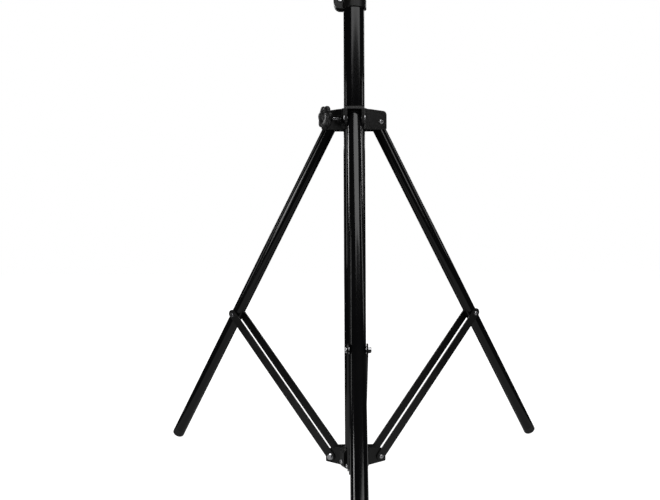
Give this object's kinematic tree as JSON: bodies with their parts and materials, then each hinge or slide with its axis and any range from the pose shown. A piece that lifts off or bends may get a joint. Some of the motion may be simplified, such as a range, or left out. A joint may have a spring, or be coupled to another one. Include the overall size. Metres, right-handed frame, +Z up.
{
  "type": "crank lighting stand",
  "caption": "Black steel crank lighting stand: tubular legs with flat-bar braces on a round column, a hand winch and a telescoping mast with a stud socket.",
  "frame": {"origin": "on the floor, on the column's axis", "axes": "+Z up along the column, -Y along the front leg, +X towards the crank's side"},
  "size_m": [0.9686, 0.8428, 1.409],
  "materials": {
    "gloss_black": "gloss",
    "cast_black": "satin",
    "bar_black": "satin",
    "zinc": "polished",
    "black_plastic": "matte",
    "steel": "brushed",
    "nylon": "matte",
    "lining": "matte"
  },
  "bodies": {
    "stand": {"column_tube": "gloss_black", "column_end_plug": "black_plastic", "brace_collar": "cast_black", "brace_collar_screw": "zinc", "brace_pivot_bolts": "zinc", "brace_pivot_nuts": "zinc", "winch_casting": "cast_black", "clamp_bolt": "zinc", "clamp_nut": "zinc", "winch_cover": "cast_black", "brake_cover": "cast_black", "brake_lining": "lining", "top_guide_bush": "nylon", "pulley_pin": "steel", "cable_outer_run": "steel", "cable_inner_run": "steel"},
    "spider": {"leg_spider": "cast_black", "leg_pivot_pins": "zinc", "leg_pivot_caps": "zinc"},
    "winch": {"winch_shaft": "steel", "brake_disc": "steel", "cable_drum": "steel", "cable_winding": "steel", "crank_arm": "bar_black", "crank_nut": "zinc", "grip_bolt": "zinc"},
    "grip": {"crank_grip": "black_plastic"},
    "pulley": {"cable_pulley": "steel"},
    "mast": {"mast_tube": "gloss_black", "mast_foot_guide": "nylon", "mast_clamp": "cast_black"},
    "upper_mast": {"upper_tube": "gloss_black", "upper_foot_guide": "nylon", "lamp_socket": "cast_black"},
    "leg_front": {"leg_tube_front": "gloss_black", "leg_top_plug_front": "black_plastic", "leg_foot_front": "black_plastic"},
    "brace_front": {"brace_bars_front": "bar_black", "brace_joint_front": "zinc"},
    "leg_right": {"leg_tube_right": "gloss_black", "leg_top_plug_right": "black_plastic", "leg_foot_right": "black_plastic"},
    "brace_right": {"brace_bars_right": "bar_black", "brace_joint_right": "zinc"},
    "leg_left": {"leg_tube_left": "gloss_black", "leg_top_plug_left": "black_plastic", "leg_foot_left": "black_plastic"},
    "brace_left": {"brace_bars_left": "bar_black", "brace_joint_left": "zinc"},
    "spider_knob": {"spider_knob": "black_plastic", "spider_knob_screw": "zinc"},
    "mast_lock_knob": {"mast_lock_knob": "black_plastic", "mast_lock_knob_screw": "zinc"},
    "mast_clamp_knob": {"mast_clamp_knob": "black_plastic", "mast_clamp_knob_screw": "zinc"},
    "socket_knob": {"socket_knob": "black_plastic", "socket_knob_screw": "zinc"}
  },
  "joints": [
    {"name": "leg_fold_slide", "type": "slide", "parent": "stand", "child": "spider", "axis": [0, 0, 1], "range_m": [0, 0.191]},
    {"name": "leg_fold_front", "type": "hinge", "parent": "spider", "child": "leg_front", "pos_m": [0, -0.0594, 0.8024], "axis": [1, 0, 0], "range_deg": [0, 31.5]},
    {"name": "brace_fold_front", "type": "hinge", "parent": "stand", "child": "brace_front", "pos_m": [0, -0.0564, 0.028], "axis": [1, 0, 0], "range_deg": [-42.29, 0]},
    {"name": "leg_fold_right", "type": "hinge", "parent": "spider", "child": "leg_right", "pos_m": [0.05144, 0.0297, 0.8024], "axis": [-0.5, 0.866, 0], "range_deg": [0, 31.5]},
    {"name": "brace_fold_right", "type": "hinge", "parent": "stand", "child": "brace_right", "pos_m": [0.04884, 0.0282, 0.028], "axis": [-0.5, 0.866, 0], "range_deg": [-42.29, 0]},
    {"name": "leg_fold_left", "type": "hinge", "parent": "spider", "child": "leg_left", "pos_m": [-0.05144, 0.0297, 0.8024], "axis": [-0.5, -0.866, 0], "range_deg": [0, 31.5]},
    {"name": "brace_fold_left", "type": "hinge", "parent": "stand", "child": "brace_left", "pos_m": [-0.04884, 0.0282, 0.028], "axis": [-0.5, -0.866, 0], "range_deg": [-42.29, 0]},
    {"name": "mast_lift", "type": "slide", "parent": "stand", "child": "mast", "axis": [0, 0, 1], "range_m": [0, 1], "deforming": ["cable_inner_run"]},
    {"name": "winch_turn", "type": "hinge", "parent": "stand", "child": "winch", "pos_m": [0, 0.0667, 1.145], "axis": [1, 0, 0], "range_deg": [0, 2605.4]},
    {"name": "pulley_turn", "type": "hinge", "parent": "stand", "child": "pulley", "pos_m": [0, 0.0327, 1.19], "axis": [1, 0, 0], "range_deg": [0, 4775.6]},
    {"name": "grip_turn", "type": "hinge", "parent": "winch", "child": "grip", "pos_m": [0.095, 0.0667, 1.25], "axis": [1, 0, 0], "continuous": true},
    {"name": "upper_lift", "type": "slide", "parent": "mast", "child": "upper_mast", "axis": [0, 0, 1], "range_m": [0, 1]},
    {"name": "spider_knob_turn", "type": "hinge", "parent": "spider", "child": "spider_knob", "pos_m": [-0.05283, -0.0305, 0.805], "axis": [-0.866, -0.5, 0], "range_deg": [0, 720]},
    {"name": "mast_lock_knob_turn", "type": "hinge", "parent": "stand", "child": "mast_lock_knob", "pos_m": [-0.04677, -0.027, 1.128], "axis": [-0.866, -0.5, 0], "range_deg": [0, 720]},
    {"name": "mast_clamp_knob_turn", "type": "hinge", "parent": "mast", "child": "mast_clamp_knob", "pos_m": [-0.03724, -0.0215, 1.277], "axis": [-0.866, -0.5, 0], "range_deg": [0, 720]},
    {"name": "socket_knob_turn", "type": "hinge", "parent": "upper_mast", "child": "socket_knob", "pos_m": [-0.03291, -0.019, 1.381], "axis": [-0.866, -0.5, 0], "range_deg": [0, 720]}
  ],
  "couplings": [
    {"joint": "leg_fold_front", "follows": "leg_fold_slide", "rad_per_m": 2.8693},
    {"joint": "brace_fold_front", "follows": "leg_fold_slide", "rad_per_m": -3.8556},
    {"joint": "leg_fold_right", "follows": "leg_fold_slide", "rad_per_m": 2.8693},
    {"joint": "brace_fold_right", "follows": "leg_fold_slide", "rad_per_m": -3.8556},
    {"joint": "leg_fold_left", "follows": "leg_fold_slide", "rad_per_m": 2.8693},
    {"joint": "brace_fold_left", "follows": "leg_fold_slide", "rad_per_m": -3.8556},
    {"joint": "winch_turn", "follows": "mast_lift", "rad_per_m": 45.455},
    {"joint": "pulley_turn", "follows": "mast_lift", "rad_per_m": 83.333}
  ]
}
